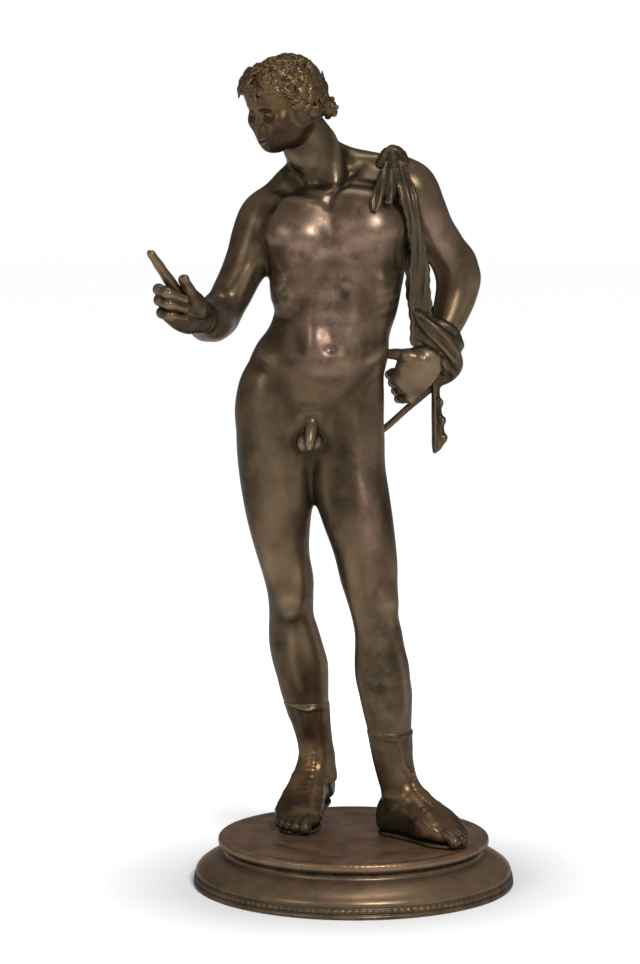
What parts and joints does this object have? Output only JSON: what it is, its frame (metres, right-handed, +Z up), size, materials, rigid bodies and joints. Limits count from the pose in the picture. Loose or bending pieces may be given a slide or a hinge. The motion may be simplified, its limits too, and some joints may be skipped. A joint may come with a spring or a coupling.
{
  "type": "bronze statue",
  "caption": "Cast bronze statue of a standing youth with a goatskin and sandals, head bowed and one finger raised, on a round moulded base",
  "frame": {"origin": "centre of the base's underside", "axes": "+Z up, the figure faces -Y, +X is the figure's left"},
  "size_m": [0.2656, 0.2425, 0.6141],
  "materials": {
    "figure": "dark brown bronze patina, rubbed bright on the high places",
    "base": "reddish brown bronze patina, darker in the hollows"
  },
  "bodies": {
    "root": {"figure": "figure", "base": "base"}
  },
  "joints": []
}
